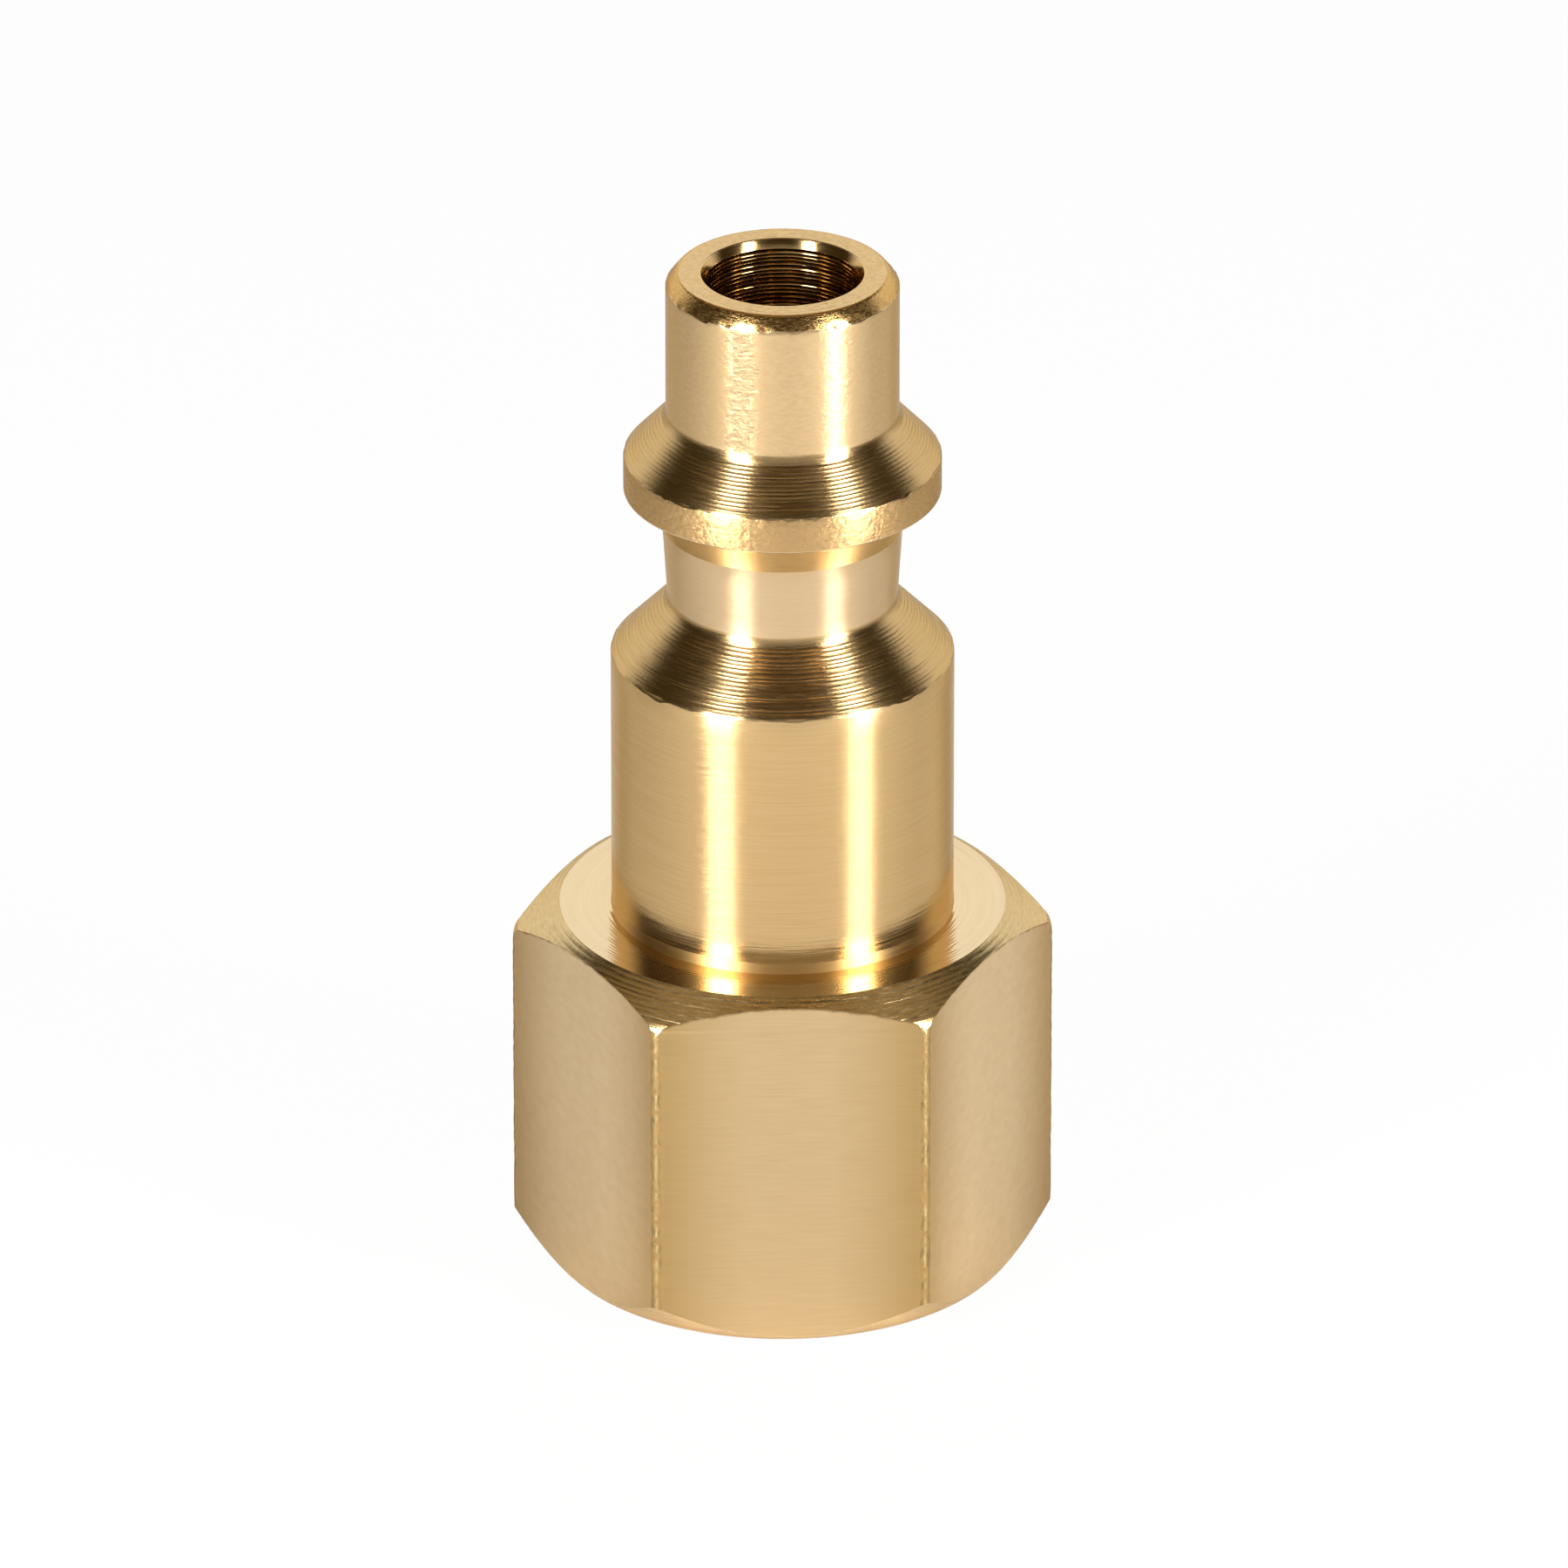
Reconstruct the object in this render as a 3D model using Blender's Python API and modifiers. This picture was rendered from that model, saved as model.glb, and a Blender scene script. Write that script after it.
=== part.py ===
"""Quick-connect plug for compressed air, turned in one piece from hexagonal brass bar.

The plug stands on its pipe end: z = 0 is the end face of the hexagon, the axis of turning
is Z, the nose points up and one wrench flat faces -Y. Lengths are in metres.
"""

import math

import bmesh
import bpy
from mathutils import Matrix

MM = 0.001

# Air passage, drilled through from the nose and widened a little at its mouth
BORE_DIAMETER = 5.10 * MM
BORE_MOUTH_STEP = 0.19 * MM
BORE_MOUTH_DEPTH = 0.64 * MM

# Nose, which enters the seal of the socket
NOSE_WALL = 1.36 * MM
NOSE_LENGTH = 4.71 * MM
NOSE_EDGE_WIDTH = 0.36 * MM
NOSE_EDGE_LENGTH = 0.43 * MM

# Lead cone and ring, behind which the balls of the socket lock
RING_STEP = 1.42 * MM
RING_LEAD_LENGTH = 1.50 * MM
RING_LENGTH = 1.25 * MM

# Neck in the ball groove, a little thicker towards the ring, with a short flare up to the ring
RING_ROOT_STEP = 0.39 * MM
RING_ROOT_LENGTH = 1.29 * MM
NECK_TOP_WALL = 1.48 * MM
NECK_FOOT_WALL = 1.31 * MM
NECK_LENGTH = 3.98 * MM

# Shank between the ball groove and the hexagon
SHANK_WALL = 3.22 * MM
SHANK_LEAD_LENGTH = 1.95 * MM
SHANK_LENGTH = 9.40 * MM
SHANK_ROOT_FILLET = 0.30 * MM

# Pipe hole, bored to the crests of a tapered 1/4-18 pipe thread and countersunk past its roots
PIPE_MOUTH_DIAMETER = 11.355 * MM
PIPE_TAPER_ON_DIAMETER = 1 / 16
PIPE_COUNTERSINK = 1.32 * MM
PIPE_FLOOR = 2.30 * MM
DRILL_POINT_ANGLE = math.radians(118)

# Hexagon, as drawn by the bar mill, with both ends chamfered on the lathe
HEXAGON_WALL = 2.26 * MM
HEXAGON_HEIGHT = 12.70 * MM
HEXAGON_CORNER_RADIUS = 0.25 * MM
TOP_CHAMFER_INSET = 0.40 * MM
TOP_CHAMFER_ANGLE = math.radians(30)
END_CHAMFER_INSET = 0.17 * MM
END_CHAMFER_ANGLE = math.radians(44)

# Finish and facets
BRASS_COLOUR = (0.66, 0.46, 0.22, 1.0)
BRASS_ROUGHNESS = 0.22
TURNING_STEPS = 96
FILLET_STEPS = 4
CORNER_STEPS = 3
SHARP_ANGLE = math.radians(20)

# Radii that follow from the bore, the pipe hole and the walls round them
bore_radius = BORE_DIAMETER / 2
nose_radius = bore_radius + NOSE_WALL
ring_radius = nose_radius + RING_STEP
neck_top_radius = bore_radius + NECK_TOP_WALL
neck_foot_radius = bore_radius + NECK_FOOT_WALL
ring_root_radius = neck_top_radius + RING_ROOT_STEP
shank_radius = bore_radius + SHANK_WALL
pipe_radius = PIPE_MOUTH_DIAMETER / 2
flat_distance = pipe_radius + HEXAGON_WALL
corner_distance = flat_distance / math.cos(math.pi / 6)

# Heights that follow from the lengths, stacked up from the pipe end
shank_top = HEXAGON_HEIGHT + SHANK_LENGTH
neck_foot = shank_top + SHANK_LEAD_LENGTH
ring_bottom = neck_foot + NECK_LENGTH
ring_root = ring_bottom - RING_ROOT_LENGTH
ring_top = ring_bottom + RING_LENGTH
nose_foot = ring_top + RING_LEAD_LENGTH
nose_shoulder = nose_foot + NOSE_LENGTH
nose_top = nose_shoulder + NOSE_EDGE_LENGTH


def arc(centre_x, centre_z, radius, start_angle, end_angle, steps):
    """Points (x, z) of an arc, both ends included."""
    points = []
    for step in range(steps + 1):
        angle = start_angle + (end_angle - start_angle) * step / steps
        points.append((centre_x + radius * math.cos(angle), centre_z + radius * math.sin(angle)))
    return points


def nose_to_hexagon():
    """The outside of the turned end, from the mouth of the bore down to the hexagon's shoulder."""
    points = [
        (bore_radius + BORE_MOUTH_STEP, nose_top),
        (nose_radius - NOSE_EDGE_WIDTH, nose_top),
        (nose_radius, nose_shoulder),
        (nose_radius, nose_foot),
        (ring_radius, ring_top),
        (ring_radius, ring_bottom),
        (ring_root_radius, ring_bottom),
        (neck_top_radius, ring_root),
        (neck_foot_radius, neck_foot),
        (shank_radius, shank_top),
    ]
    points += arc(
        shank_radius + SHANK_ROOT_FILLET,
        HEXAGON_HEIGHT + SHANK_ROOT_FILLET,
        SHANK_ROOT_FILLET,
        math.pi,
        1.5 * math.pi,
        FILLET_STEPS,
    )
    return points


def hexagon_blank():
    """The two chamfers of the hexagon, run out past its corners so that the bar's flats cut them off."""
    top_flat = flat_distance - TOP_CHAMFER_INSET
    end_flat = flat_distance - END_CHAMFER_INSET
    rim = corner_distance + HEXAGON_WALL
    return [
        (top_flat, HEXAGON_HEIGHT),
        (rim, HEXAGON_HEIGHT - (rim - top_flat) * math.tan(TOP_CHAMFER_ANGLE)),
        (rim, (rim - end_flat) * math.tan(END_CHAMFER_ANGLE)),
        (end_flat, 0.0),
    ]


def pipe_hole_and_bore():
    """The inside, from the countersink of the pipe hole up to the widened mouth of the bore."""
    taper = PIPE_TAPER_ON_DIAMETER / 2
    pipe_depth = HEXAGON_HEIGHT - PIPE_FLOOR
    pipe_end_radius = pipe_radius - pipe_depth * taper
    drill_point = (pipe_end_radius - bore_radius) / math.tan(DRILL_POINT_ANGLE / 2)
    return [
        (pipe_radius + PIPE_COUNTERSINK, 0.0),
        (pipe_radius - PIPE_COUNTERSINK * taper, PIPE_COUNTERSINK),
        (pipe_end_radius, pipe_depth),
        (bore_radius, pipe_depth + drill_point),
        (bore_radius, nose_top - BORE_MOUTH_DEPTH),
    ]


def turned(name, profile):
    """An object that turns a closed profile of (x, z) points once round Z."""
    mesh = bpy.data.meshes.new(name)
    shape = bmesh.new()
    corners = [shape.verts.new((x, 0.0, z)) for x, z in profile]
    for first, second in zip(corners, corners[1:] + corners[:1]):
        shape.edges.new((first, second))
    shape.to_mesh(mesh)
    shape.free()
    turned_object = bpy.data.objects.new(name, mesh)
    screw = turned_object.modifiers.new("turning", "SCREW")
    screw.axis = "Z"
    screw.angle = 2 * math.pi
    screw.steps = TURNING_STEPS
    screw.render_steps = TURNING_STEPS
    screw.use_merge_vertices = True
    screw.merge_threshold = 0.01 * MM
    return turned_object


def hexagon_bar(name):
    """A length of hexagonal bar with rounded corners, longer at both ends than what is turned from it."""
    mesh = bpy.data.meshes.new(name)
    shape = bmesh.new()
    flats_face_y = Matrix.Rotation(math.pi / 6, 4, "Z")
    half_way_up = Matrix.Translation((0.0, 0.0, nose_top / 2))
    bmesh.ops.create_cone(
        shape,
        cap_ends=True,
        segments=6,
        radius1=corner_distance,
        radius2=corner_distance,
        depth=nose_top + 2 * HEXAGON_HEIGHT,
        matrix=half_way_up @ flats_face_y,
    )
    upright = [edge for edge in shape.edges if edge.verts[0].co.z * edge.verts[1].co.z < 0]
    bmesh.ops.bevel(
        shape,
        geom=upright,
        offset=HEXAGON_CORNER_RADIUS * math.tan(math.pi / 6),
        offset_type="OFFSET",
        segments=CORNER_STEPS,
        profile=0.5,
        affect="EDGES",
    )
    shape.to_mesh(mesh)
    shape.free()
    return bpy.data.objects.new(name, mesh)


def brass():
    """Bright turned brass."""
    material = bpy.data.materials.new("turned_brass")
    material.use_nodes = True
    shader = material.node_tree.nodes["Principled BSDF"]
    shader.inputs["Base Color"].default_value = BRASS_COLOUR
    shader.inputs["Roughness"].default_value = BRASS_ROUGHNESS
    shader.inputs["Metallic"].default_value = 1.0
    material.diffuse_color = BRASS_COLOUR
    return material


def finish(part):
    """Applies the modifiers of a part, shades its turned faces smooth and keeps its edges sharp."""
    bpy.context.view_layer.update()
    evaluated = part.evaluated_get(bpy.context.evaluated_depsgraph_get())
    mesh = bpy.data.meshes.new_from_object(evaluated)
    part.modifiers.clear()
    part.data = mesh
    mesh.shade_smooth()
    mesh.set_sharp_from_angle(angle=SHARP_ANGLE)


def collection(name):
    """A new collection in the scene."""
    made = bpy.data.collections.new(name)
    bpy.context.scene.collection.children.link(made)
    return made


for leftover in list(bpy.data.objects):
    bpy.data.objects.remove(leftover, do_unlink=True)

plug_parts = collection("quick_connect_plug")
cutters = collection("cutters")

bar = hexagon_bar("hexagon_bar")
bar.hide_render = True
bar.display_type = "WIRE"
cutters.objects.link(bar)

plug = turned("plug_body", nose_to_hexagon() + hexagon_blank() + pipe_hole_and_bore())
plug.data.materials.append(brass())
plug_parts.objects.link(plug)
cut_flats = plug.modifiers.new("wrench_flats", "BOOLEAN")
cut_flats.operation = "INTERSECT"
cut_flats.solver = "EXACT"
cut_flats.object = bar
finish(plug)
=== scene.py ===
import math

import bpy
import numpy as np
from mathutils import Matrix, Vector


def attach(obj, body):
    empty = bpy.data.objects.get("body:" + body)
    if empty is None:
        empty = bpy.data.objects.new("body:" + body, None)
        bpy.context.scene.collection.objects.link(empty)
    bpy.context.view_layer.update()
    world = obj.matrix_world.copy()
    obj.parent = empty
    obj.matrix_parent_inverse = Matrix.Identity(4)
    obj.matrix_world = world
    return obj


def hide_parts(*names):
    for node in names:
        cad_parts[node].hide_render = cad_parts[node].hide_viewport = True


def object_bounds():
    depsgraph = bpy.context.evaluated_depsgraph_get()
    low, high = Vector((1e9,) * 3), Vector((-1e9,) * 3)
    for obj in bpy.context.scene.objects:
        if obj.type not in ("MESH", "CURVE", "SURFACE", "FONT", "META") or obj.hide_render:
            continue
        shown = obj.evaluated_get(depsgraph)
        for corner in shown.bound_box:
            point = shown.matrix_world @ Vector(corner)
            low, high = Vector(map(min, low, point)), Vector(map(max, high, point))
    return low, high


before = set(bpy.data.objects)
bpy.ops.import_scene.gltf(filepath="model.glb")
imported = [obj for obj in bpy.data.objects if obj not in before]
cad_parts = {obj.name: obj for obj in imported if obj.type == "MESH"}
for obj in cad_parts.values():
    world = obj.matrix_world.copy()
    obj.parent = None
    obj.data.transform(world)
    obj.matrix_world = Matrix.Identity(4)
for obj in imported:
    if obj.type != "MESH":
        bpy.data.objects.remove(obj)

cad_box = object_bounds()
axis_base = (cad_box[0] + cad_box[1]) / 2
axis_base.z = cad_box[0].z


# Camera: a long lens about three quarters of a metre away, looking down on the plug
# and standing two degrees to the left of its front wrench flat.
MM = 0.001
PHOTO_PIXELS = 1800
PIXEL_AT_AXIS = 0.029387 * MM
CAMERA_DISTANCE = 770 * MM
CAMERA_AZIMUTH = math.radians(-2.0)
CAMERA_ELEVATION = math.radians(25.9)
SENSOR_WIDTH = 36.0
NEAREST, FARTHEST = 0.01, 50.0
SIGHTED_HEIGHT = 12.79 * MM
SIGHTED_BELOW_CENTRE = 129.3
SIGHTED_LEFT_OF_CENTRE = 1.7


def around(azimuth, distance, height):
    """A point at an azimuth round the plug's axis, counted from straight in front to the right."""
    out = Vector((math.sin(azimuth), -math.cos(azimuth), 0.0))
    return axis_base + distance * out + Vector((0.0, 0.0, height))


sighted = axis_base + Vector((0.0, 0.0, SIGHTED_HEIGHT))
camera_data = bpy.data.cameras.new("photo_camera")
camera_data.sensor_width = SENSOR_WIDTH
camera_data.lens = SENSOR_WIDTH * CAMERA_DISTANCE / (PIXEL_AT_AXIS * PHOTO_PIXELS)
camera_data.clip_start = NEAREST
camera_data.clip_end = FARTHEST
camera = bpy.data.objects.new("photo_camera", camera_data)
camera.location = around(
    CAMERA_AZIMUTH,
    CAMERA_DISTANCE * math.cos(CAMERA_ELEVATION),
    SIGHTED_HEIGHT + CAMERA_DISTANCE * math.sin(CAMERA_ELEVATION),
)
to_right = Vector((math.cos(CAMERA_AZIMUTH), math.sin(CAMERA_AZIMUTH), 0.0))
to_plug = (sighted - camera.location).normalized()
upwards = to_right.cross(to_plug)
aim = (
    to_plug * CAMERA_DISTANCE
    + upwards * SIGHTED_BELOW_CENTRE * PIXEL_AT_AXIS
    + to_right * SIGHTED_LEFT_OF_CENTRE * PIXEL_AT_AXIS
)
camera.rotation_mode = "QUATERNION"
camera.rotation_quaternion = aim.to_track_quat("-Z", "Y")
bpy.context.scene.collection.objects.link(camera)
bpy.context.scene.camera = camera
bpy.context.scene.view_settings.view_transform = "Standard"


# Studio: a white acrylic table, two strip softboxes that stand at its level in front to the left
# and right, a white wall behind, and a dim room and warm ceiling, which the brass shows as browns.
# Lengths are in metres.
TABLE_WHITE = "#E4E3E4"
TABLE_SIZE = 6.0
WHITE_TO_EYE = 0.96
WHITE_IN_METAL = 0.02
STRIP_DISTANCE = 0.16
STRIP_TOP = 0.175
STRIP_RADIANCE = 20.0
LEFT_STRIP_AZIMUTH = math.radians(-43.3)
LEFT_STRIP_WIDTH = 0.049
RIGHT_STRIP_AZIMUTH = math.radians(50.8)
RIGHT_STRIP_WIDTH = 0.046
WALL_COLOUR, WALL_RADIANCE = "#FFFFFF", 1.25
WALL_LIGHT_ON_TABLE = 0.35
ROOM_COLOUR, ROOM_RADIANCE = "#F2F0F2", 0.60
CEILING_COLOUR, CEILING_RADIANCE = "#FFE0A0", 0.06
OVERHEAD_COLOUR, OVERHEAD_RADIANCE = "#FFDC9F", 0.39
# Where these fade into each other, as the height or the reach to the back of a unit direction.
ROOM_TOP_FADE = (0.46, 0.60)
ROOM_SIDE_FADE = (-0.85, -0.50)
WALL_TOP_FADE = (0.49, 0.60)
WALL_SIDE_FADE = (0.18, 0.60)
WALL_TURN_TO_RIGHT = 0.10
OVERHEAD_FADE = (0.86, 0.98)
OVERHEAD_LEAN_TO_BACK = 0.33


def linear(hex_colour, strength=1.0):
    """Linear RGBA of an sRGB hex colour, brighter or darker by a strength."""
    shares = [int(hex_colour[place : place + 2], 16) / 255 for place in (1, 3, 5)]
    bent = [s / 12.92 if s <= 0.04045 else ((s + 0.055) / 1.055) ** 2.4 for s in shares]
    return (*(strength * share for share in bent), 1.0)


def add_node(tree, kind, inputs=None, **settings):
    """Adds a node with its settings, and sets or links its inputs by name or number.

    Numbers stand where names repeat: a colour Mix mixes inputs 6 and 7 by input 0 into
    output 2, and a Map Range maps the range from input 1 to 2 onto that from 3 to 4.
    """
    made = tree.nodes.new(kind)
    for name, value in settings.items():
        setattr(made, name, value)
    for name, value in (inputs or {}).items():
        if isinstance(value, bpy.types.NodeSocket):
            tree.links.new(value, made.inputs[name])
        else:
            made.inputs[name].default_value = value
    return made


def strip_softbox(name, azimuth, width):
    """An upright softbox that stands at the table's level and faces the plug."""
    data = bpy.data.lights.new(name, "AREA")
    data.shape = "RECTANGLE"
    data.size = width
    data.size_y = STRIP_TOP
    data.energy = STRIP_RADIANCE * math.pi * width * STRIP_TOP
    lamp = bpy.data.objects.new(name, data)
    lamp.location = around(azimuth, STRIP_DISTANCE, STRIP_TOP / 2)
    inwards = around(azimuth, 0.0, STRIP_TOP / 2) - lamp.location
    lamp.rotation_mode = "QUATERNION"
    lamp.rotation_quaternion = inwards.to_track_quat("-Z", "Y")
    lamp.visible_camera = False
    bpy.context.scene.collection.objects.link(lamp)


strip_softbox("left_strip", LEFT_STRIP_AZIMUTH, LEFT_STRIP_WIDTH)
strip_softbox("right_strip", RIGHT_STRIP_AZIMUTH, RIGHT_STRIP_WIDTH)

# White acrylic: an even white that mirrors the lamps faintly, and looks nearly pure white.
acrylic = bpy.data.materials.new("white_acrylic_sheet")
acrylic.use_nodes = True
tree = acrylic.node_tree
tree.nodes.clear()
sheet = add_node(
    tree,
    "ShaderNodeBsdfPrincipled",
    {
        "Base Color": linear(TABLE_WHITE),
        "Roughness": 0.10,
        "IOR": 1.49,
        "Specular IOR Level": 0.7,
    },
)
glow = add_node(tree, "ShaderNodeEmission", {"Color": (1.0, 1.0, 1.0, 1.0), "Strength": 1.0})
path = add_node(tree, "ShaderNodeLightPath")
in_glass_or_metal = add_node(
    tree,
    "ShaderNodeMath",
    {0: path.outputs["Is Glossy Ray"], 1: path.outputs["Is Transmission Ray"]},
    operation="MAXIMUM",
)
mirrored = add_node(
    tree,
    "ShaderNodeMath",
    {0: in_glass_or_metal.outputs[0], 1: WHITE_IN_METAL},
    operation="MULTIPLY",
)
white_share = add_node(
    tree,
    "ShaderNodeMath",
    {0: path.outputs["Is Camera Ray"], 1: WHITE_TO_EYE, 2: mirrored.outputs[0]},
    operation="MULTIPLY_ADD",
)
mixed = add_node(
    tree,
    "ShaderNodeMixShader",
    {0: white_share.outputs[0], 1: sheet.outputs[0], 2: glow.outputs[0]},
)
add_node(tree, "ShaderNodeOutputMaterial", {"Surface": mixed.outputs[0]})

table_mesh = bpy.data.meshes.new("table")
reach = TABLE_SIZE / 2
table_corners = [(-reach, -reach, 0), (reach, -reach, 0), (reach, reach, 0), (-reach, reach, 0)]
table_mesh.from_pydata([axis_base + Vector(corner) for corner in table_corners], [], [(0, 1, 2, 3)])
table_mesh.materials.append(acrylic)
table = bpy.data.objects.new("table", table_mesh)
bpy.context.scene.collection.objects.link(table)

# The room by direction: white behind up to about thirty-three degrees, dim in front, dark at the
# sides and above, with a faint warm panel overhead. The eye sees plain white behind the plug.
world = bpy.data.worlds.new("studio_room")
bpy.context.scene.world = world
world.use_nodes = True
tree = world.node_tree
tree.nodes.clear()
towards = add_node(tree, "ShaderNodeTexCoord")
part_of = add_node(tree, "ShaderNodeSeparateXYZ", {0: towards.outputs["Generated"]})
over_room = add_node(
    tree,
    "ShaderNodeMapRange",
    {"Value": part_of.outputs["Z"], 1: ROOM_TOP_FADE[0], 2: ROOM_TOP_FADE[1]},
    interpolation_type="SMOOTHSTEP",
)
beside_room = add_node(
    tree,
    "ShaderNodeMapRange",
    {"Value": part_of.outputs["Y"], 1: ROOM_SIDE_FADE[0], 2: ROOM_SIDE_FADE[1]},
    interpolation_type="SMOOTHSTEP",
)
off_room = add_node(
    tree,
    "ShaderNodeMath",
    {0: over_room.outputs[0], 1: beside_room.outputs[0]},
    operation="MAXIMUM",
)
front = add_node(
    tree,
    "ShaderNodeMix",
    {
        0: off_room.outputs[0],
        6: linear(ROOM_COLOUR, ROOM_RADIANCE),
        7: linear(CEILING_COLOUR, CEILING_RADIANCE),
    },
    data_type="RGBA",
)
over_wall = add_node(
    tree,
    "ShaderNodeMapRange",
    {"Value": part_of.outputs["Z"], 1: WALL_TOP_FADE[0], 2: WALL_TOP_FADE[1]},
    interpolation_type="SMOOTHSTEP",
)
back = add_node(
    tree,
    "ShaderNodeMix",
    {
        0: over_wall.outputs[0],
        6: linear(WALL_COLOUR, WALL_RADIANCE),
        7: linear(CEILING_COLOUR, CEILING_RADIANCE),
    },
    data_type="RGBA",
)
right_and_back = add_node(
    tree,
    "ShaderNodeMath",
    {0: part_of.outputs["X"], 1: WALL_TURN_TO_RIGHT, 2: part_of.outputs["Y"]},
    operation="MULTIPLY_ADD",
)
backness = add_node(
    tree,
    "ShaderNodeMapRange",
    {"Value": right_and_back.outputs[0], 1: WALL_SIDE_FADE[0], 2: WALL_SIDE_FADE[1]},
    interpolation_type="SMOOTHSTEP",
)
path = add_node(tree, "ShaderNodeLightPath")
wall_share = add_node(
    tree,
    "ShaderNodeMath",
    {0: path.outputs["Is Diffuse Ray"], 1: WALL_LIGHT_ON_TABLE - 1, 2: 1.0},
    operation="MULTIPLY_ADD",
)
walled = add_node(
    tree,
    "ShaderNodeMath",
    {0: backness.outputs[0], 1: wall_share.outputs[0]},
    operation="MULTIPLY",
)
room = add_node(
    tree,
    "ShaderNodeMix",
    {0: walled.outputs[0], 6: front.outputs[2], 7: back.outputs[2]},
    data_type="RGBA",
)
leaning_back = add_node(
    tree,
    "ShaderNodeMath",
    {0: part_of.outputs["Y"], 1: OVERHEAD_LEAN_TO_BACK, 2: part_of.outputs["Z"]},
    operation="MULTIPLY_ADD",
)
overhead = add_node(
    tree,
    "ShaderNodeMapRange",
    {"Value": leaning_back.outputs[0], 1: OVERHEAD_FADE[0], 2: OVERHEAD_FADE[1]},
    interpolation_type="SMOOTHSTEP",
)
roofed = add_node(
    tree,
    "ShaderNodeMix",
    {
        0: overhead.outputs[0],
        6: room.outputs[2],
        7: linear(OVERHEAD_COLOUR, OVERHEAD_RADIANCE),
    },
    data_type="RGBA",
)
seen = add_node(
    tree,
    "ShaderNodeMix",
    {0: path.outputs["Is Camera Ray"], 6: roofed.outputs[2], 7: (1.0, 1.0, 1.0, 1.0)},
    data_type="RGBA",
)
sky = add_node(tree, "ShaderNodeBackground", {"Color": seen.outputs[2], "Strength": 1.0})
add_node(tree, "ShaderNodeOutputWorld", {"Surface": sky.outputs[0]})


# Bar: the plug is cut from hexagonal brass bar, cold drawn to size by the mill with slightly
# rounded corners. Five flats keep that satin skin, and the front one is linished.
# Sizes are in mm, and a hair under the CAD's, so that rounding does not pass them.
HAIR = 0.0001
ACROSS_FLATS = (cad_box[1].y - cad_box[0].y) / MM - HAIR
ACROSS_CORNERS = (cad_box[1].x - cad_box[0].x) / MM - HAIR
LENGTH = (cad_box[1].z - cad_box[0].z) / MM - HAIR
HEXAGON_TOP = 12.70
TOP_CHAMFER_INSET = 0.40
TOP_CHAMFER_SLOPE = math.tan(math.radians(30))
# Along each flat's top rim a ragged dark line is painted, partly shade and partly burr: its width
# and strength.
RIM_SHADE_WIDTH = 0.09
RIM_SHADE = 0.75
# Painted shade: the flats darken from the first of these radii to the second, towards the bar's
# corners.
CORNER_SHADE_START, CORNER_SHADE_END = 8.05, 8.95
NOISE_LOW, NOISE_HIGH = 0.3, 0.7
RADIUS_IN_LINES = -0.7
BAR_OVERLENGTH = 3.0
BAR_CORNER_STEPS = 4
BAR_CORNER_WEAR = 0.45
BAR_SLICES = 64
FLAT_SPREAD = 2
CHANCE_SEED = 7
BRASS = "#CDAF7D"
BRASS_SHADE = "#B28C54"
# Colour of the ragged line along the flats' top rim: partly painted shade, partly burr.
EDGE_SHADE_AND_BURR_BROWN = "#7A5A32"
BRASS_EDGE = "#EBDCC3"
SATIN_BRASS = "#E1CBA6"
# The flats darken to these corner colours near the bar's corners, as painted shade.
SATIN_CORNER_SHADE = "#BFA57C"
LINISHED_BRASS = "#DFC495"
LINISHED_CORNER_SHADE = "#C8A972"

chance = np.random.default_rng(CHANCE_SEED)
flat_distance = ACROSS_FLATS / 2
corner_distance = flat_distance / math.cos(math.pi / 6)
top_flat_radius = flat_distance - TOP_CHAMFER_INSET
bar_corner_radius = (corner_distance - ACROSS_CORNERS / 2) / (1 / math.cos(math.pi / 6) - 1)


def drawn_out(tree, width, length, straight):
    """A vector for patterns of fine lines: width across them in mm, length along them.

    Straight lines lie level and their length is in mm. The others run round the axis,
    where their length is an angle, and height and radius together count across them.
    """
    place = add_node(tree, "ShaderNodeTexCoord")
    flat = add_node(
        tree,
        "ShaderNodeVectorMath",
        {0: place.outputs["Object"], 1: (1.0, 1.0, 0.0)},
        operation="MULTIPLY",
    )
    height = add_node(tree, "ShaderNodeSeparateXYZ", {0: place.outputs["Object"]})
    across = height.outputs["Z"]
    along = flat.outputs[0]
    stretch = 1 / (length * MM)
    if not straight:
        out = add_node(tree, "ShaderNodeVectorMath", {0: flat.outputs[0]}, operation="LENGTH")
        across = add_node(
            tree,
            "ShaderNodeMath",
            {0: out.outputs["Value"], 1: RADIUS_IN_LINES, 2: across},
            operation="MULTIPLY_ADD",
        ).outputs[0]
        along = add_node(tree, "ShaderNodeVectorMath", {0: along}, operation="NORMALIZE").outputs[0]
        stretch = 1 / length
    lines = add_node(
        tree,
        "ShaderNodeMath",
        {0: across, 1: 1 / (width * MM)},
        operation="MULTIPLY",
    )
    stacked = add_node(tree, "ShaderNodeCombineXYZ", {"Z": lines.outputs[0]})
    return add_node(
        tree,
        "ShaderNodeVectorMath",
        {0: along, 1: (stretch, stretch, 0.0), 2: stacked.outputs[0]},
        operation="MULTIPLY_ADD",
    ).outputs[0]


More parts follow.
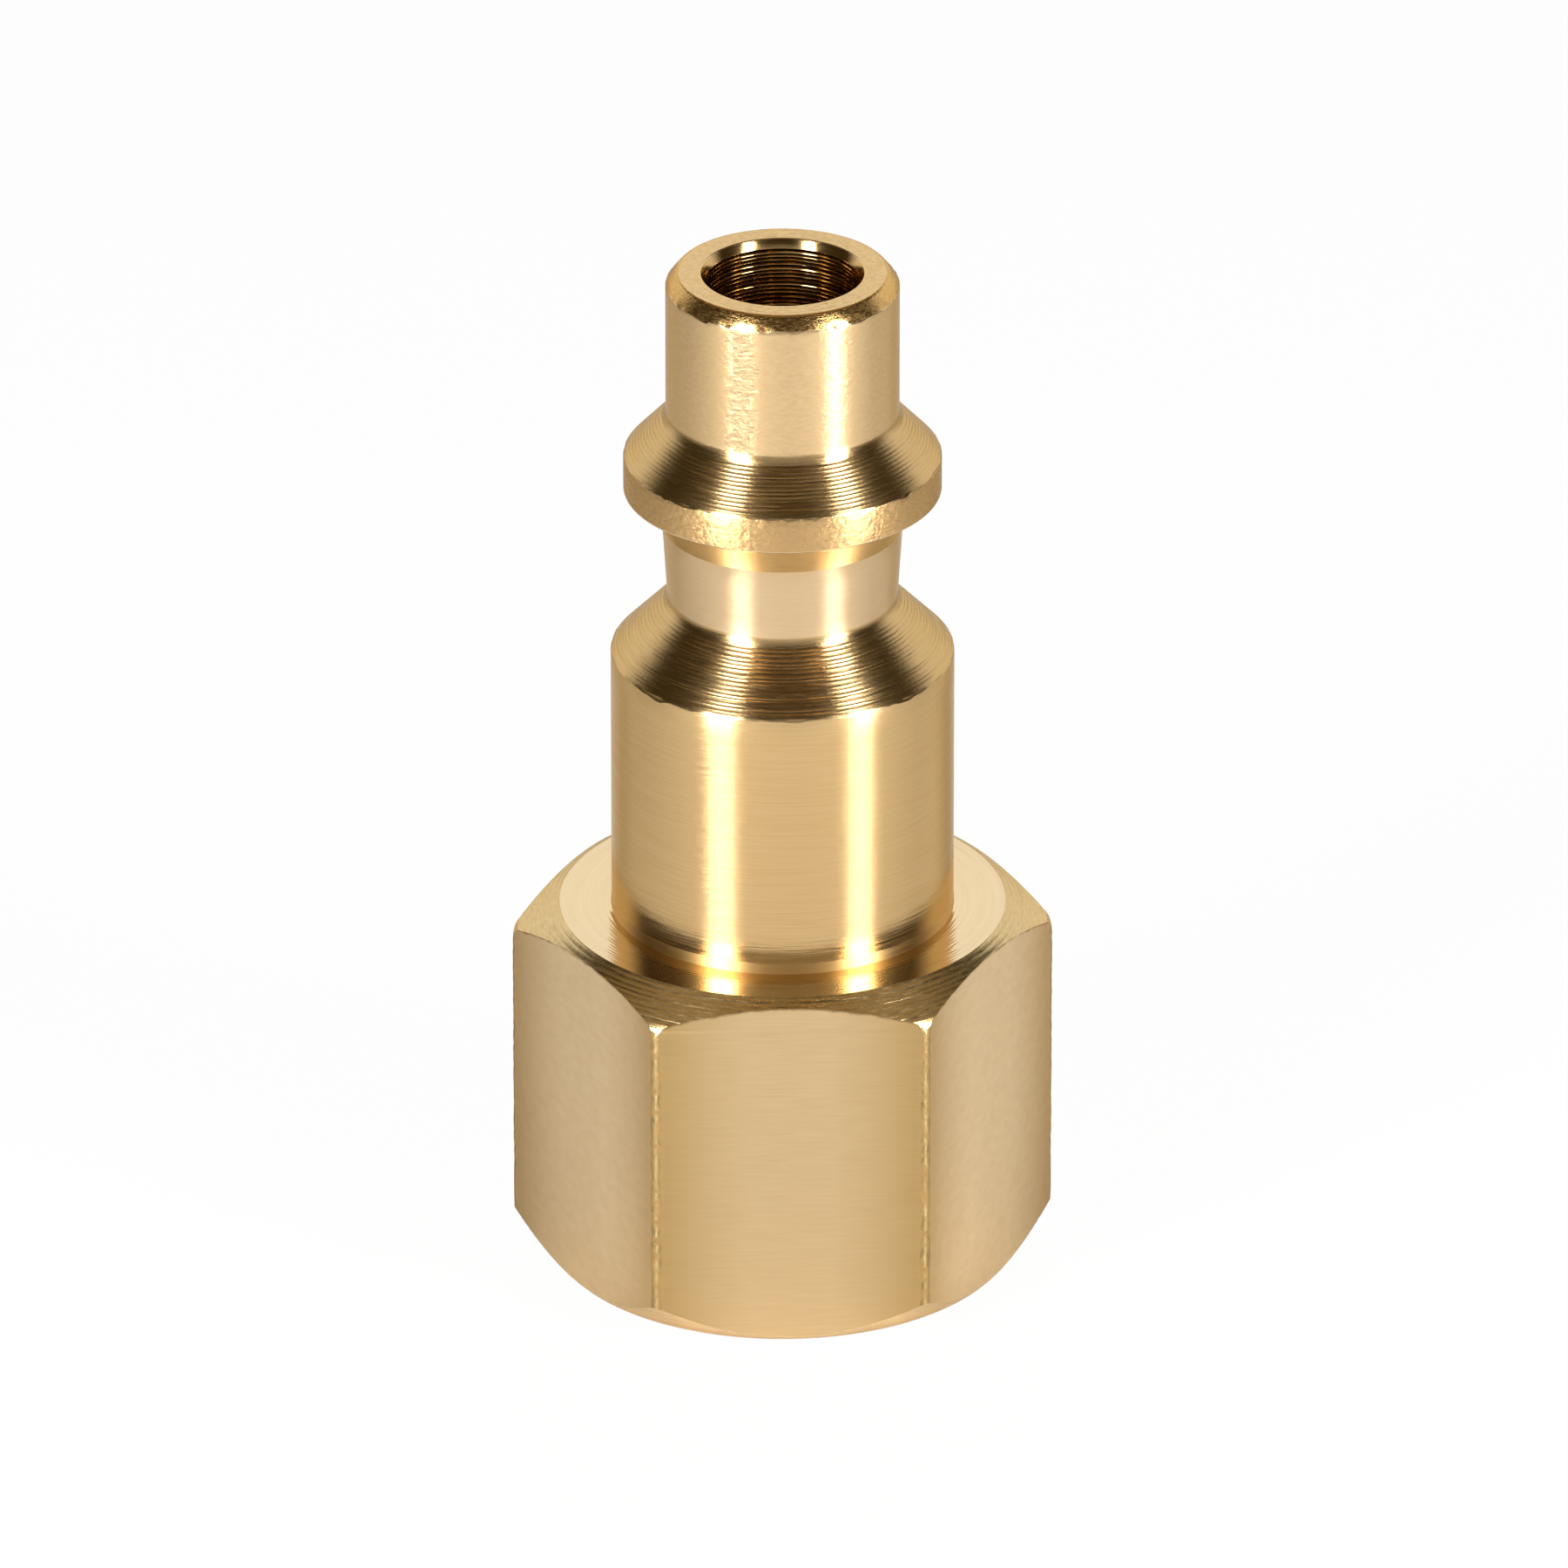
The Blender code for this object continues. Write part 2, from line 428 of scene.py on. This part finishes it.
def brass_finish(
    name,
    colour,
    roughness,
    anisotropy,
    lines,
    shade,
    dents,
    straight=False,
    corner_shade_colour=None,
    grain_turn=0.25,
):
    """Brass with fine lines left by a tool, a belt or the die, soft dents, and painted shade at a
    flat's corners and top rim, where the rim line is partly burr.

    Lines are given by their width, length and depth, and dents by their size and depth.
    The grain blurs reflections across itself: it runs round the axis, or upright with no turn.
    """
    line_width, line_length, line_depth = lines
    dent_size, dent_depth = dents
    material = bpy.data.materials.new(name)
    material.use_nodes = True
    tree = material.node_tree
    tree.nodes.clear()
    fine = add_node(
        tree,
        "ShaderNodeTexNoise",
        {
            "Vector": drawn_out(tree, line_width, line_length, straight),
            "Scale": 1.0,
            "Detail": 2.0,
        },
    )
    place = add_node(tree, "ShaderNodeTexCoord")
    dent = add_node(
        tree,
        "ShaderNodeTexNoise",
        {"Vector": place.outputs["Object"], "Scale": 1 / (dent_size * MM), "Detail": 2.0},
    )
    base = linear(colour)
    # Painted shade: the flat darkens towards the bar's corners.
    if corner_shade_colour:
        flat = add_node(
            tree,
            "ShaderNodeVectorMath",
            {0: place.outputs["Object"], 1: (1.0, 1.0, 0.0)},
            operation="MULTIPLY",
        )
        out = add_node(tree, "ShaderNodeVectorMath", {0: flat.outputs[0]}, operation="LENGTH")
        near_corner = add_node(
            tree,
            "ShaderNodeMapRange",
            {
                "Value": out.outputs["Value"],
                1: CORNER_SHADE_START * MM,
                2: CORNER_SHADE_END * MM,
            },
        )
        ground = add_node(
            tree,
            "ShaderNodeMix",
            {0: near_corner.outputs[0], 6: linear(colour), 7: linear(corner_shade_colour)},
            data_type="RGBA",
        )
        up = add_node(tree, "ShaderNodeSeparateXYZ", {0: place.outputs["Object"]})
        # Painted shade and burr: a ragged dark line along the flat's top rim.
        to_rim = add_node(
            tree,
            "ShaderNodeMath",
            {0: out.outputs["Value"], 1: TOP_CHAMFER_SLOPE, 2: up.outputs["Z"]},
            operation="MULTIPLY_ADD",
        )
        ragged = add_node(
            tree,
            "ShaderNodeMath",
            {0: dent.outputs[0], 1: 2 * RIM_SHADE_WIDTH * MM, 2: to_rim.outputs[0]},
            operation="MULTIPLY_ADD",
        )
        rim = (HEXAGON_TOP + top_flat_radius * TOP_CHAMFER_SLOPE + RIM_SHADE_WIDTH) * MM
        near_rim = add_node(
            tree,
            "ShaderNodeMapRange",
            {
                "Value": ragged.outputs[0],
                1: rim - RIM_SHADE_WIDTH * MM,
                2: rim,
                3: 0.0,
                4: RIM_SHADE,
            },
        )
        base = add_node(
            tree,
            "ShaderNodeMix",
            {0: near_rim.outputs[0], 6: ground.outputs[2], 7: linear(EDGE_SHADE_AND_BURR_BROWN)},
            data_type="RGBA",
        ).outputs[2]
    shaded = add_node(
        tree,
        "ShaderNodeMapRange",
        {"Value": fine.outputs[0], 1: NOISE_LOW, 2: NOISE_HIGH, 3: 0.0, 4: shade},
    )
    tinted = add_node(
        tree,
        "ShaderNodeMix",
        {0: shaded.outputs[0], 6: base, 7: linear(BRASS_SHADE)},
        data_type="RGBA",
    )
    dented = add_node(
        tree,
        "ShaderNodeBump",
        {"Height": dent.outputs[0], "Strength": 1.0, "Distance": dent_depth * MM},
    )
    lined = add_node(
        tree,
        "ShaderNodeBump",
        {
            "Height": fine.outputs[0],
            "Strength": 1.0,
            "Distance": line_depth * MM,
            "Normal": dented.outputs[0],
        },
    )
    polish = add_node(
        tree,
        "ShaderNodeMapRange",
        {
            "Value": fine.outputs[0],
            1: NOISE_LOW,
            2: NOISE_HIGH,
            3: (1 - shade) * roughness,
            4: (1 + shade) * roughness,
        },
    )
    tangent = add_node(tree, "ShaderNodeTangent", direction_type="RADIAL", axis="Z")
    shader = add_node(
        tree,
        "ShaderNodeBsdfPrincipled",
        {
            "Base Color": tinted.outputs[2],
            "Metallic": 1.0,
            "Roughness": polish.outputs[0],
            "Specular Tint": linear(BRASS_EDGE),
            "Anisotropic": anisotropy,
            "Anisotropic Rotation": grain_turn,
            "Normal": lined.outputs[0],
            "Tangent": tangent.outputs[0],
        },
    )
    add_node(tree, "ShaderNodeOutputMaterial", {"Surface": shader.outputs[0]})
    return material


# Cold-drawn brass: an even satin skin with a soft bloom, and painted shade that darkens it towards
# the corners.
drawn_brass = brass_finish(
    "cold_drawn_satin_brass",
    SATIN_BRASS,
    roughness=0.36,
    anisotropy=0.3,
    lines=(0.30, 0.5, 0.002),
    shade=0.10,
    dents=(0.45, 0.004),
    straight=True,
    corner_shade_colour=SATIN_CORNER_SHADE,
)
# Linished brass: short level scratches of a fine belt over a warmer, brighter ground, with painted
# shade towards the corners.
linished_brass = brass_finish(
    "linished_brass",
    LINISHED_BRASS,
    roughness=0.33,
    anisotropy=0.8,
    lines=(0.07, 1.6, 0.003),
    shade=0.12,
    dents=(0.45, 0.002),
    straight=True,
    corner_shade_colour=LINISHED_CORNER_SHADE,
)
# Corners of the bar: dull and finely nicked from handling, so the lamps hardly show in them.
nicked_brass = brass_finish(
    "nicked_bar_corner_brass",
    "#9A855B",
    roughness=0.55,
    anisotropy=0.0,
    lines=(0.25, 0.3, 0.004),
    shade=0.5,
    dents=(0.12, 0.008),
    straight=True,
)


def bar_section(corner_radius):
    """Corners of the bar's section, counter-clockwise from the left end of the front flat."""
    inset = corner_distance - corner_radius / math.cos(math.pi / 6)
    points = []
    for corner in range(6):
        middle = math.radians(-120 + 60 * corner)
        for step in range(BAR_CORNER_STEPS + 1):
            angle = middle + math.radians(60 * (step / BAR_CORNER_STEPS - 0.5))
            points.append(
                (
                    inset * math.cos(middle) + corner_radius * math.cos(angle),
                    inset * math.sin(middle) + corner_radius * math.sin(angle),
                )
            )
    return points


bar_levels = [-BAR_OVERLENGTH, *np.linspace(0.0, HEXAGON_TOP, BAR_SLICES), LENGTH + BAR_OVERLENGTH]
bar_points = []
for level in bar_levels:
    worn_radius = bar_corner_radius * (1 + BAR_CORNER_WEAR * chance.random())
    bar_points += [(x, y, level) for x, y in bar_section(worn_radius)]
sides = 6 * (BAR_CORNER_STEPS + 1)
bar_faces = [tuple(reversed(range(sides)))]
for slice_start in range(0, sides * (len(bar_levels) - 1), sides):
    for side in range(sides):
        beside = (side + 1) % sides
        bar_faces.append(
            (
                slice_start + side,
                slice_start + beside,
                slice_start + sides + beside,
                slice_start + sides + side,
            )
        )
bar_faces.append(tuple(range(sides * (len(bar_levels) - 1), sides * len(bar_levels))))
bar_mesh = bpy.data.meshes.new("hexagonal_bar")
bar_mesh.from_pydata(bar_points, [], bar_faces)
bar_mesh.materials.append(drawn_brass)
bar_mesh.materials.append(linished_brass)
bar_mesh.materials.append(nicked_brass)
for face in bar_mesh.polygons:
    off_flat = (math.degrees(math.atan2(face.normal.y, face.normal.x)) + 90) % 60
    if face.normal.y < -math.cos(math.radians(FLAT_SPREAD)):
        face.material_index = 1
    elif FLAT_SPREAD < off_flat < 60 - FLAT_SPREAD:
        face.material_index = 2
bar = bpy.data.objects.new("hexagonal_bar", bar_mesh)
bar.hide_render = True
bpy.context.scene.collection.objects.link(bar)


# Turned outside: nose, lead cone, lock ring, neck, shank and the hexagon's chamfers, and the bore,
# all cut from the brass bar on a lathe with a pointed tool, which leaves a fine ridge at each turn
# of its feed. Sizes are in mm.
BORE_RADIUS = 2.55
BORE_MOUTH_RADIUS = 2.74
BORE_LIP_RADIUS = 2.56
BORE_LIP_DEPTH = 0.30
BORE_LIP_EDGE = 0.03
NOSE_RADIUS = 3.91
NOSE_BEVEL_WIDTH = 0.36
NOSE_BEVEL_FOOT = LENGTH - 0.43
NOSE_FACE_EDGE = 0.15
NOSE_SIDE_EDGE = 0.10
NOSE_EDGE_WEAR = 0.06
NOSE_FOOT = 30.78
RING_RADIUS = 5.33
RING_TOP = 29.28
RING_BOTTOM = 28.03
RING_ROOT_RADIUS = 4.42
RING_ROOT = 26.74
RING_ROOT_FILLET = 0.08
NECK_TOP_RADIUS = 4.03
NECK_FOOT_RADIUS = 3.86
NECK_FOOT = 24.05
SHANK_RADIUS = 5.77
SHANK_TOP = 22.10
SHANK_FOOT_RADIUS = 5.79
SHANK_FOOT_TOP = HEXAGON_TOP + 0.39
SHANK_FOOT_WEAR = 0.02
CORNER_BREAK = ((8.93, 0.0), (9.03, 0.12), (9.085, 0.29), (9.13, 0.72))
END_CHAMFER_INSET = 0.17
END_CHAMFER_SLOPE = math.tan(math.radians(44))
END_EDGE = 0.04
BLANK_MARGIN = 0.25
EDGE_RADIUS = 0.06
EDGE_WEAR = 0.055
CONE_ROOT_FILLET = 0.40
FACE_FEED = 0.12
FACE_FEED_DEPTH = 0.0025
NOSE_FACE_DEPTH = 0.002
CONE_FEED = 0.15
CONE_FEED_DEPTH = 0.008
# The chamfers were fed at about 0.12 mm a turn. It is coarser here, so that the rings show.
CHAMFER_FEED = 0.21
CHAMFER_FEED_DEPTH = 0.011
BORE_FEED = 0.15
BORE_FEED_DEPTH = 0.012
BORE_RIBBED_DEPTH = 3.4
# Where the tool left no marks to see, rings of points stand this far apart.
NOSE_ROWS = 0.15
RING_ROWS = 0.4
NECK_ROWS = 0.6
SHANK_ROWS = 0.8
SHANK_FOOT_ROWS = 0.05
CORNER_BREAK_ROWS = 0.2
DRILL_POINT_ROWS = 0.4
BORE_ROWS = 2.0
# Each mark is a shallow trough. Its depth and place vary a little, round it and from mark to mark.
TROUGH = ((0.15, 0.75), (0.5, 1.0), (0.85, 0.75))
FEED_WANDER = 0.16
SHALLOWEST, DEEPEST = 0.6, 1.3
CHATTER = 0.12
CHATTER_SMOOTHING = 5
CHIP_SMOOTHING = 1
# Steps once round, counted from the right past the back. The scuffed strip takes six of them.
AROUND = 160
SCUFF_START = 107
SCUFF_END = 113
ARC_STEP = math.radians(18)
SHARP_ANGLE = math.radians(28)

# Bright turned brass: the lamps stand in it as upright stripes with soft, finely ragged sides.
turned_brass = brass_finish(
    "bright_turned_brass",
    BRASS,
    roughness=0.20,
    anisotropy=0.10,
    lines=(0.06, 0.40, 0.004),
    shade=0.24,
    dents=(0.25, 0.002),
)
# Finish-turned brass of the nose: the same, but a paler ground, which paints in the brighter light
# that the nose shows.
nose_brass = brass_finish(
    "nose_turned_brass_painted_lighter",
    "#D6B98B",
    roughness=0.21,
    anisotropy=0.10,
    lines=(0.12, 0.06, 0.007),
    shade=0.18,
    dents=(0.20, 0.005),
)
# Scuffed strip of the nose: rubbed along the axis and pitted, so that the left lamp breaks up.
scuffed_brass = brass_finish(
    "scuffed_turned_brass",
    "#C4AC86",
    roughness=0.43,
    anisotropy=0.8,
    lines=(0.12, 0.05, 0.016),
    shade=0.30,
    dents=(0.13, 0.014),
    grain_turn=0.0,
)
# Brass in the corners under the ring and at the foot of the shank: warm and blurred up and down,
# where the tool only just reached.
flare_brass = brass_finish(
    "tool_corner_turned_brass",
    "#D4AE72",
    roughness=0.45,
    anisotropy=0.92,
    lines=(0.06, 0.15, 0.002),
    shade=0.12,
    dents=(0.25, 0.001),
)
# Plunge-turned brass of the groove: a paler, rougher ground with broad soft stripes.
grooved_brass = brass_finish(
    "plunge_turned_brass",
    "#D1B790",
    roughness=0.24,
    anisotropy=0.10,
    lines=(0.08, 0.20, 0.005),
    shade=0.10,
    dents=(0.30, 0.003),
)
# Brass of the nose's bevel: deep golden brown, mottled by knocks and never polished.
knocked_brass = brass_finish(
    "knocked_bevel_brass",
    "#CBA468",
    roughness=0.22,
    anisotropy=0.0,
    lines=(0.05, 0.05, 0.006),
    shade=0.45,
    dents=(0.12, 0.006),
)
# Brass of the rubbed ring: dented all over by the balls of the sockets, so its stripes break up.
rubbed_brass = brass_finish(
    "rubbed_ring_brass",
    "#BF9F70",
    roughness=0.34,
    anisotropy=0.4,
    lines=(0.08, 0.05, 0.007),
    shade=0.35,
    dents=(0.22, 0.024),
)
# Brass with open feed marks: streaks of many fine ridges, which catch the lamps in golden fans.
feed_marked_brass = brass_finish(
    "feed_marked_turned_brass",
    "#C0A272",
    roughness=0.24,
    anisotropy=0.78,
    lines=(0.055, 0.22, 0.007),
    shade=0.20,
    dents=(0.15, 0.002),
)
# Chamfer-turned brass: concentric rings of gold on brown.
chamfered_brass = brass_finish(
    "coarse_fed_turned_brass",
    "#CCB588",
    roughness=0.25,
    anisotropy=0.60,
    lines=(0.08, 0.05, 0.004),
    shade=0.25,
    dents=(0.15, 0.002),
)
# Faced brass of the shoulder and ends: almost a mirror, in which the shank stands again. Its pale
# ground is partly painted light, most of all on the end chamfer, lit from the table close under it.
faced_brass = brass_finish(
    "faced_brass",
    "#DDC9A6",
    roughness=0.11,
    anisotropy=0.4,
    lines=(0.10, 0.60, 0.005),
    shade=0.10,
    dents=(0.30, 0.001),
)
# Bored and tapped brass: it mirrors itself and goes deep golden brown between bright ridges.
bored_brass = brass_finish(
    "bored_brass",
    "#C0A06C",
    roughness=0.15,
    anisotropy=0.3,
    lines=(0.07, 0.20, 0.003),
    shade=0.15,
    dents=(0.20, 0.001),
)
tapped_brass = brass_finish(
    "tapped_brass",
    BRASS,
    roughness=0.24,
    anisotropy=0.3,
    lines=(0.07, 0.15, 0.003),
    shade=0.15,
    dents=(0.20, 0.002),
)
finish_brasses = (
    turned_brass,
    nose_brass,
    scuffed_brass,
    flare_brass,
    grooved_brass,
    knocked_brass,
    rubbed_brass,
    feed_marked_brass,
    chamfered_brass,
    faced_brass,
    bored_brass,
    tapped_brass,
)
(
    TURNED,
    NOSE,
    SCUFFED,
    FLARE,
    GROOVED,
    KNOCKED,
    RUBBED,
    FEED_MARKED,
    CHAMFERED,
    FACED,
    BORED,
    TAPPED,
) = range(len(finish_brasses))

# Pipe hole: a tapered right-hand 1/4-18 pipe thread, tapped into the brass of a drilled and
# countersunk hole. The hole is part of the profile, and the thread is then cut into its rings.
PIPE_CREST_RADIUS = 5.6775
PIPE_TAPER = 1 / 32
PIPE_COUNTERSINK = 1.32
PIPE_DEPTH = 10.40
THREAD_PITCH = 25.4 / 18
THREAD_HEIGHT = 0.8 * THREAD_PITCH
THREAD_FLAT_SHARE = 0.06
THREAD_RUN_OUT = 2.0
THREAD_END_GAP = 0.4
THREAD_ROWS_PER_TURN = 12
DRILL_POINT_SLOPE = math.tan(math.radians(59))

rim_radius = corner_distance + BLANK_MARGIN
end_flat_radius = flat_distance - END_CHAMFER_INSET
corner_break_top = HEXAGON_TOP - (CORNER_BREAK[0][0] - top_flat_radius) * TOP_CHAMFER_SLOPE
end_chamfer_top = (rim_radius - end_flat_radius) * END_CHAMFER_SLOPE
countersink_radius = PIPE_CREST_RADIUS + PIPE_COUNTERSINK
pipe_end_radius = PIPE_CREST_RADIUS - PIPE_TAPER * PIPE_DEPTH
drill_point_top = PIPE_DEPTH + (pipe_end_radius - BORE_RADIUS) / DRILL_POINT_SLOPE

# Corners of the profile, from the mouth of the bore over the outside and back up inside:
# radius, height, edge radius, edge wear, then the finish, feed and feed depth of what follows.
profile = [
    (BORE_MOUTH_RADIUS, LENGTH, EDGE_RADIUS, 0.0, NOSE, FACE_FEED, NOSE_FACE_DEPTH),
    (NOSE_RADIUS - NOSE_BEVEL_WIDTH, LENGTH, NOSE_FACE_EDGE, 0.0, KNOCKED, FACE_FEED, 0.0),
    (NOSE_RADIUS, NOSE_BEVEL_FOOT, NOSE_SIDE_EDGE, NOSE_EDGE_WEAR, NOSE, NOSE_ROWS, 0.0),
    (NOSE_RADIUS, NOSE_FOOT, CONE_ROOT_FILLET, 0.0, FEED_MARKED, CONE_FEED, CONE_FEED_DEPTH),
    (RING_RADIUS, RING_TOP, EDGE_RADIUS, EDGE_WEAR, RUBBED, RING_ROWS, 0.0),
    (RING_RADIUS, RING_BOTTOM, EDGE_RADIUS, 0.0, FACED, FACE_FEED, FACE_FEED_DEPTH),
    (RING_ROOT_RADIUS, RING_BOTTOM, RING_ROOT_FILLET, 0.0, FLARE, RING_ROWS, 0.0),
    (NECK_TOP_RADIUS, RING_ROOT, 0.0, 0.0, GROOVED, NECK_ROWS, 0.0),
    (NECK_FOOT_RADIUS, NECK_FOOT, CONE_ROOT_FILLET, 0.0, FEED_MARKED, CONE_FEED, CONE_FEED_DEPTH),
    (SHANK_RADIUS, SHANK_TOP, EDGE_RADIUS, EDGE_WEAR, TURNED, SHANK_ROWS, 0.0),
    (SHANK_RADIUS, SHANK_FOOT_TOP + SHANK_FOOT_ROWS, 0.0, 0.0, TURNED, SHANK_FOOT_ROWS, 0.0),
    (SHANK_RADIUS, SHANK_FOOT_TOP, 0.0, SHANK_FOOT_WEAR, FLARE, SHANK_FOOT_ROWS, 0.0),
    (SHANK_FOOT_RADIUS, HEXAGON_TOP, 0.0, 0.0, FACED, FACE_FEED, FACE_FEED_DEPTH),
    (top_flat_radius, HEXAGON_TOP, EDGE_RADIUS, 0.0, CHAMFERED, CHAMFER_FEED, CHAMFER_FEED_DEPTH),
    *(
        (radius, corner_break_top - drop, 0.0, 0.0, TURNED, CORNER_BREAK_ROWS, 0.0)
        for radius, drop in CORNER_BREAK
    ),
    # The end chamfer takes the pale faced finish, as painted light from the table close under it.
    (rim_radius, end_chamfer_top, 0.0, 0.0, FACED, CONE_FEED, CONE_FEED_DEPTH),
    (end_flat_radius, 0.0, END_EDGE, 0.0, FACED, FACE_FEED, FACE_FEED_DEPTH),
    (countersink_radius, 0.0, 0.0, 0.0, TAPPED, THREAD_PITCH / THREAD_ROWS_PER_TURN, 0.0),
    (pipe_end_radius, PIPE_DEPTH, 0.0, 0.0, BORED, DRILL_POINT_ROWS, 0.0),
    (BORE_RADIUS, drill_point_top, 0.0, 0.0, BORED, BORE_ROWS, 0.0),
    (BORE_RADIUS, LENGTH - BORE_RIBBED_DEPTH, 0.0, 0.0, BORED, BORE_FEED, BORE_FEED_DEPTH),
    (BORE_LIP_RADIUS, LENGTH - BORE_LIP_DEPTH, BORE_LIP_EDGE, 0.0, BORED, BORE_FEED, 0.0),
]


def rounded(before, corner, after, radius):
    """Points of the arc that rounds a corner of the profile, or the corner itself."""
    corner = np.array(corner)
    back = np.array(before) - corner
    ahead = np.array(after) - corner
    back /= np.linalg.norm(back)
    ahead /= np.linalg.norm(ahead)
    opening = math.acos(np.clip(back @ ahead, -1.0, 1.0))
    if radius == 0.0:
        return [corner]
    reach = radius / math.tan(opening / 2)
    middle = corner + (back + ahead) / np.linalg.norm(back + ahead) * radius / math.sin(opening / 2)
    first = corner + back * reach - middle
    last = corner + ahead * reach - middle
    steps = max(2, round((math.pi - opening) / ARC_STEP))
    turn = math.atan2(first[0] * last[1] - first[1] * last[0], first @ last)
    points = []
    for step in range(steps + 1):
        cos, sin = math.cos(turn * step / steps), math.sin(turn * step / steps)
        turned = (first[0] * cos - first[1] * sin, first[0] * sin + first[1] * cos)
        points.append(middle + np.array(turned))
    return points


def uneven(passes):
    """Chance values round the axis, evened out over their neighbours, with a spread of one."""
    values = chance.normal(size=AROUND)
    for _ in range(passes):
        values = (np.roll(values, 1) + 2 * values + np.roll(values, -1)) / 4
    return values / values.std()


def feed_marks(start, end, feed, depth):
    """Rings between two ends of a stretch: their places, the cuts there, and how the cuts vary."""
    way = end - start
    length = np.linalg.norm(way)
    count = max(1, round(length / feed))
    nowhere = np.zeros(2)
    if depth == 0.0:
        return [(start + way * step / count, nowhere, np.zeros(AROUND)) for step in range(1, count)]
    into = np.array([way[1], -way[0]]) / length
    ridges = np.arange(count + 1, dtype=float)
    ridges[1:-1] += chance.uniform(-FEED_WANDER, FEED_WANDER, count - 1)
    marks = []
    for ridge, following in zip(ridges[:-1], ridges[1:]):
        cut = into * depth * chance.uniform(SHALLOWEST, DEEPEST)
        chatter = 1 + CHATTER * uneven(CHATTER_SMOOTHING)
        if ridge > 0:
            marks.append((start + way * ridge / count, nowhere, np.zeros(AROUND)))
        for share, level in TROUGH:
            place = ridge + (following - ridge) * share
            marks.append((start + way * place / count, cut * level, chatter))
    return marks


# The blank: one ring of points for each mark, its edges chipped downwards where they are worn.
marks = []
finishes = []
corner_arcs = []
for place, corner in enumerate(profile):
    before = profile[place - 1][:2]
    after = profile[(place + 1) % len(profile)][:2]
    corner_arcs.append(rounded(before, corner[:2], after, corner[2]))
for place, (_, _, _, wear, finish, feed, depth) in enumerate(profile):
    arc = corner_arcs[place]
    chips = np.abs(uneven(CHIP_SMOOTHING))
    following_arc = corner_arcs[(place + 1) % len(profile)]
    stretch = [(point, np.array([0.0, -wear]), chips) for point in arc]
    stretch += feed_marks(arc[-1], following_arc[0], feed, depth)
    marks += stretch
    finishes += [finish] * len(stretch)
radii = np.array([mark[0][0] + mark[1][0] * mark[2] for mark in marks])
heights = np.array([mark[0][1] + mark[1][1] * mark[2] for mark in marks])
angles = 2 * math.pi * np.arange(AROUND) / AROUND

# The thread: a V with small flats, cut outwards from the tapered hole and run out at its end.
for ring in np.flatnonzero(np.array(finishes) == TAPPED):
    height = heights[ring]
    turn = height / THREAD_PITCH - angles / (2 * math.pi)
    wave = np.abs(2 * (turn - np.floor(turn)) - 1)
    groove = np.clip((wave - THREAD_FLAT_SHARE) / (1 - 2 * THREAD_FLAT_SHARE), 0.0, 1.0)
    run_out = np.clip((PIPE_DEPTH - THREAD_END_GAP - height) / THREAD_RUN_OUT, 0.0, 1.0)
    threaded = PIPE_CREST_RADIUS - PIPE_TAPER * height + THREAD_HEIGHT * groove * run_out
    countersunk = countersink_radius - (1 + PIPE_TAPER) * height
    radii[ring] = np.maximum(threaded, countersunk)

points = np.stack([radii * np.cos(angles), radii * np.sin(angles), heights], axis=2).reshape(-1, 3)
rows = len(marks)
faces = []
for row in range(rows):
    below = (row + 1) % rows
    for step in range(AROUND):
        beside = (step + 1) % AROUND
        faces.append(
            (
                row * AROUND + step,
                below * AROUND + step,
                below * AROUND + beside,
                row * AROUND + beside,
            )
        )
blank_mesh = bpy.data.meshes.new("quick_connect_plug")
blank_mesh.from_pydata(points.tolist(), [], faces)
for material in finish_brasses:
    blank_mesh.materials.append(material)
slots = np.repeat(np.array(finishes)[:, None], AROUND, axis=1)
for row in np.flatnonzero((slots[:, 0] == NOSE) & (heights[:, 0] < NOSE_BEVEL_FOOT)):
    ragged_start, ragged_end = chance.integers(-1, 2, 2)
    slots[row, SCUFF_START + ragged_start : SCUFF_END + ragged_end] = SCUFFED
blank_mesh.polygons.foreach_set("material_index", slots.ravel().astype(np.int32))
plug = bpy.data.objects.new("quick_connect_plug", blank_mesh)
bpy.context.scene.collection.objects.link(plug)

# The flats of the bar cut the turned blank.
flats = plug.modifiers.new("wrench_flats", "BOOLEAN")
flats.operation = "INTERSECT"
flats.solver = "EXACT"
flats.object = bar
flats.material_mode = "TRANSFER"
bpy.context.view_layer.update()
cut = bpy.data.meshes.new_from_object(plug.evaluated_get(bpy.context.evaluated_depsgraph_get()))
plug.modifiers.clear()
plug.data = cut
cut.name = "quick_connect_plug"
cut.transform(Matrix.Translation(axis_base) @ Matrix.Scale(MM, 4))
cut.shade_smooth()
cut.set_sharp_from_angle(angle=SHARP_ANGLE)
bpy.data.objects.remove(bar)

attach(plug, "root")
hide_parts("plug_body")

bpy.context.view_layer.update()
